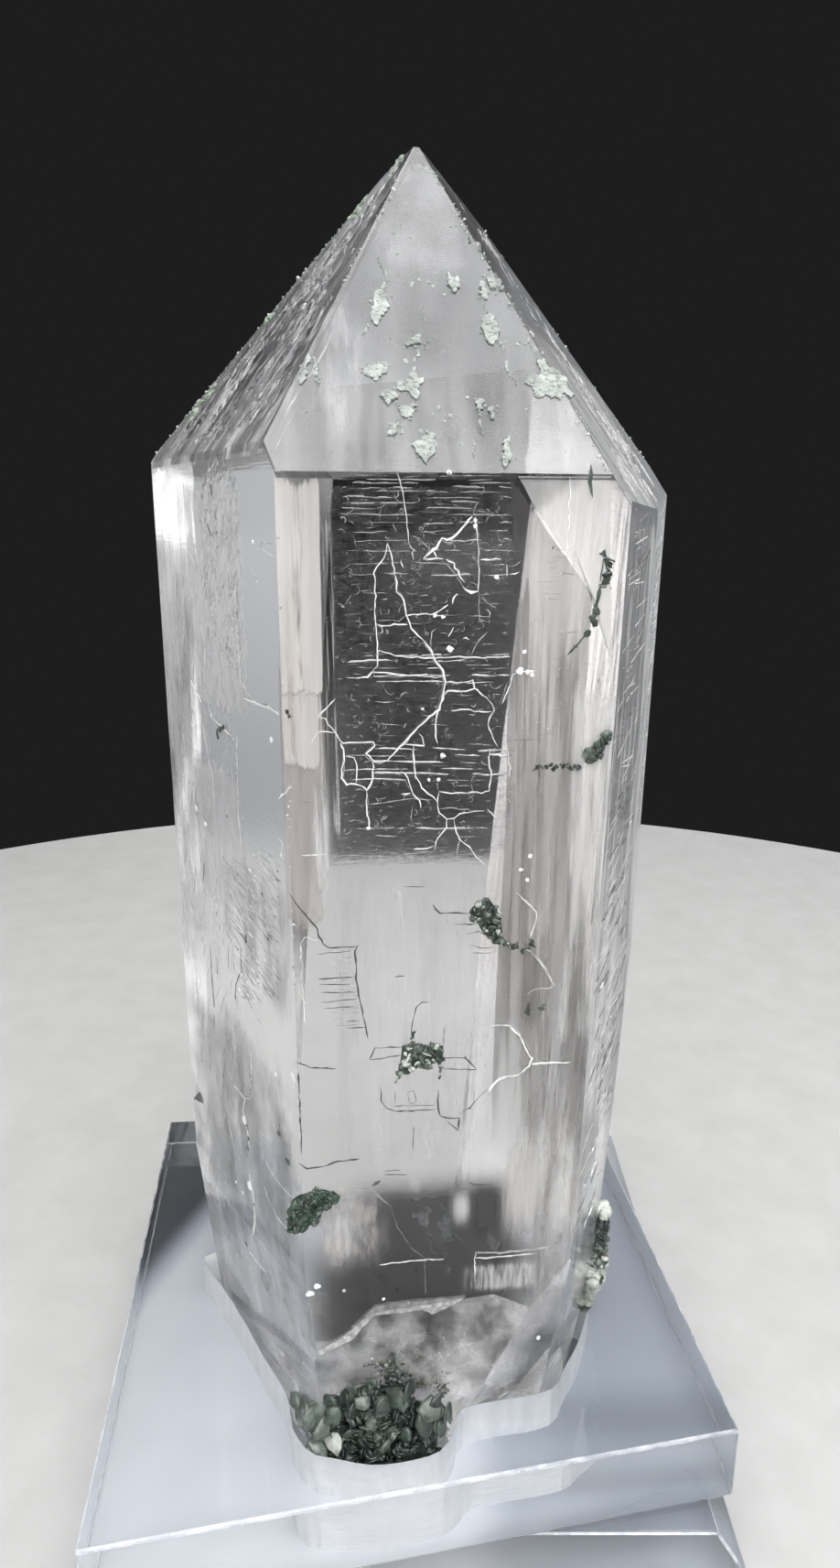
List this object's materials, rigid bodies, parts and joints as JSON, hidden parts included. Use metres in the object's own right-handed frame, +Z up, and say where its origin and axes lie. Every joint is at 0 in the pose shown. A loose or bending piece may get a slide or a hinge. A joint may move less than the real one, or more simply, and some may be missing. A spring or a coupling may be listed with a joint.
{
  "type": "chlorite quartz crystal in an acrylic holder",
  "caption": "Upright clear quartz crystal with a pointed six-sided termination and green chlorite, seated in a pocket in a two-sheet clear acrylic holder.",
  "frame": {"origin": "middle of the holder's footprint, at the flat underside of the lower acrylic block", "axes": "+Z up along the crystal to its point, -Y towards the front, which the crystal's broad prism face looks at, +X to the right of someone who faces that face"},
  "size_m": [0.0992, 0.1072, 0.1927],
  "materials": {
    "clear_quartz": "clear colourless quartz with natural crystal faces, veils and cloudy zones",
    "clear_acrylic": "polished clear cast acrylic sheet with white, machined pocket walls and small scratches",
    "chlorite_green": "dark green books of chlorite plates with a soft waxy lustre",
    "chlorite_pale": "pale greenish white, chalky crust of fine chlorite"
  },
  "bodies": {
    "root": {"acrylic_block": "clear_acrylic", "acrylic_slab": "clear_acrylic", "quartz_crystal": "clear_quartz", "chlorite_foot_cluster": "chlorite_green", "chlorite_edge_patch": "chlorite_green", "chlorite_pit_upper": "chlorite_green", "chlorite_pit_lower": "chlorite_green", "chlorite_pit_right": "chlorite_green", "chlorite_edge_crust": "chlorite_pale"}
  },
  "joints": []
}
